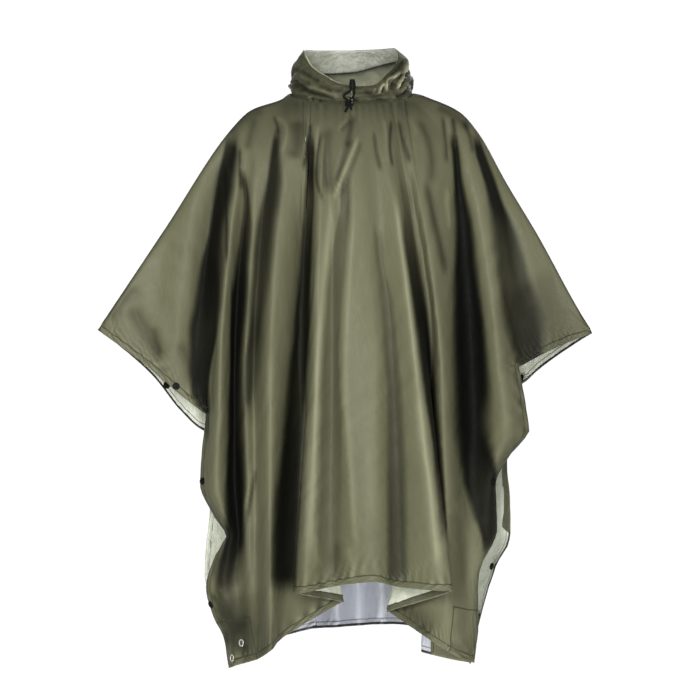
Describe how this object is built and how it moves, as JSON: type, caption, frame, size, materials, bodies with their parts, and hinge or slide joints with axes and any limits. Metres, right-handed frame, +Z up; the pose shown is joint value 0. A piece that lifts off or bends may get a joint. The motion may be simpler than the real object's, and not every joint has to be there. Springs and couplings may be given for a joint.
{
  "type": "rain poncho",
  "caption": "Hooded rain poncho of coated cloth, worn with both arms held out: open sides and hems, hood worn down as a scrunched collar, drawstring ends at the throat.",
  "frame": {"origin": "middle of the base of the neck, where the garment rests on the wearer's shoulders", "axes": "+Z up, -Y the way the wearer faces, +X to the right as seen from the front"},
  "size_m": [0.9647, 0.4332, 1.2146],
  "materials": {
    "coated_cloth": "semi-gloss coated polyester, pale coating inside",
    "black_plastic": "satin moulded",
    "black_cord": "matte braid",
    "nickelled_steel": "nickel plated"
  },
  "bodies": {
    "root": {"front": "coated_cloth", "back": "coated_cloth", "hood_left": "coated_cloth", "hood_right": "coated_cloth", "brim_tunnel": "coated_cloth", "corner_patch_front_left": "coated_cloth", "corner_patch_front_right": "coated_cloth", "corner_patch_back_left": "coated_cloth", "corner_patch_back_right": "coated_cloth", "stud_front_left_1": "black_plastic", "stud_front_left_2": "black_plastic", "stud_front_left_3": "black_plastic", "stud_front_right_1": "black_plastic", "stud_front_right_2": "black_plastic", "stud_front_right_3": "black_plastic", "stud_back_left_1": "black_plastic", "stud_back_left_2": "black_plastic", "stud_back_left_3": "black_plastic", "stud_back_right_1": "black_plastic", "stud_back_right_2": "black_plastic", "stud_back_right_3": "black_plastic", "eyelet_front_left": "nickelled_steel", "eyelet_front_left_low": "nickelled_steel", "eyelet_back_left": "nickelled_steel", "eyelet_back_right": "nickelled_steel", "cord_lock": "black_plastic", "drawcord_left": "black_cord", "drawcord_right": "black_cord", "cord_knot": "black_cord"}
  },
  "joints": []
}
